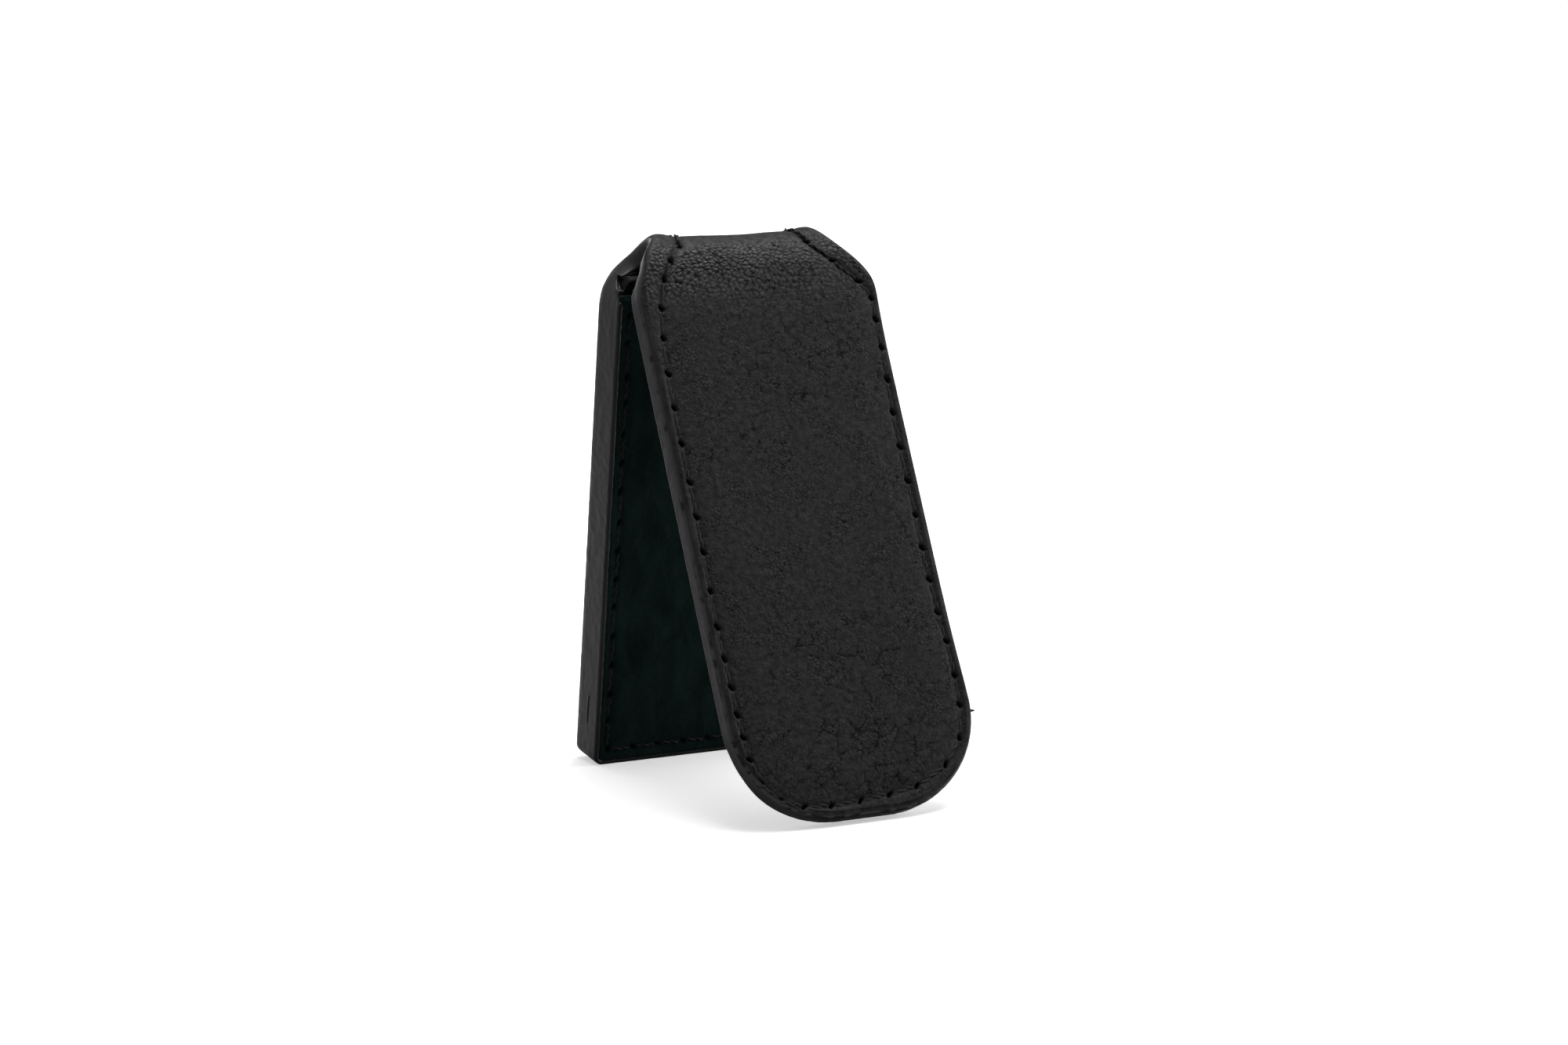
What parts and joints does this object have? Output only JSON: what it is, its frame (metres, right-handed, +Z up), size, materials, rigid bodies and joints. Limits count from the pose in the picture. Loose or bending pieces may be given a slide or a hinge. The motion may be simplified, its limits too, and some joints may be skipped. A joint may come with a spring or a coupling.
{
  "type": "money clip",
  "caption": "Magnetic leather money clip: a folded strap with a thin rounded front leg and a thick square back leg, each lined and sewn around flat magnets.",
  "frame": {"origin": "bottom centre of the clip standing open on its two legs", "axes": "+Z up, +X across the clip (its width), -Y towards the thin rounded front leg"},
  "size_m": [0.0322, 0.0486, 0.0671],
  "materials": {
    "cover_leather": "black, fine pebbled grain, semi-matt",
    "backing_leather": "black, smooth split leather",
    "edge_leather": "black, painted and burnished edge",
    "lining_suede": "black suede, matt nap",
    "thread": "black waxed thread",
    "magnet_nickel": "nickel plate",
    "stiffener_board": "fibre board, matt"
  },
  "bodies": {
    "crown_2": {"crown_cover_2": "cover_leather", "crown_backing_2": "backing_leather", "seam_thread_crown_2": "thread"},
    "crown_1": {"crown_cover_1": "cover_leather", "crown_backing_1": "backing_leather", "seam_thread_crown_1": "thread"},
    "front_leg": {"outer_cover_front": "cover_leather", "magnet_frame_front": "edge_leather", "lining_front": "lining_suede", "magnet_front_upper": "magnet_nickel", "magnet_front_lower": "magnet_nickel", "seam_thread_front_outer": "thread", "seam_thread_front_inner": "thread"},
    "crown_3": {"crown_cover_3": "cover_leather", "crown_backing_3": "backing_leather", "seam_thread_crown_3": "thread"},
    "back_leg": {"outer_cover_back": "cover_leather", "backing_layer_back": "backing_leather", "stiffener_board_back": "stiffener_board", "magnet_frame_back": "edge_leather", "magnet_back_upper": "magnet_nickel", "magnet_back_lower": "magnet_nickel", "lining_back": "lining_suede", "seam_thread_back_outer": "thread", "seam_thread_back_inner": "thread"}
  },
  "joints": [
    {"name": "crown_front_bend", "type": "hinge", "parent": "crown_2", "child": "crown_1", "pos_m": [0, 0.01031, 0.06591], "axis": [-1, 0, 0], "range_deg": [-8.31, 36.69], "deforming": ["crown_cover_1", "crown_backing_1", "seam_thread_crown_1", "crown_cover_2", "crown_backing_2", "seam_thread_crown_2"]},
    {"name": "front_leg_open", "type": "hinge", "parent": "crown_1", "child": "front_leg", "pos_m": [0, 0.00706, 0.0642], "axis": [-1, 0, 0], "range_deg": [-8.31, 36.69]},
    {"name": "crown_back_bend", "type": "hinge", "parent": "crown_2", "child": "crown_3", "pos_m": [0, 0.01314, 0.06546], "axis": [1, 0, 0], "range_deg": [-8.31, 36.69], "deforming": ["crown_cover_3", "crown_backing_3", "seam_thread_crown_3"]},
    {"name": "back_leg_open", "type": "hinge", "parent": "crown_3", "child": "back_leg", "pos_m": [0, 0.0149, 0.06366], "axis": [1, 0, 0], "range_deg": [-8.31, 36.69]}
  ],
  "couplings": [
    {"joint": "crown_front_bend", "follows": "back_leg_open", "ratio": 1},
    {"joint": "front_leg_open", "follows": "back_leg_open", "ratio": 1},
    {"joint": "crown_back_bend", "follows": "back_leg_open", "ratio": 1}
  ]
}
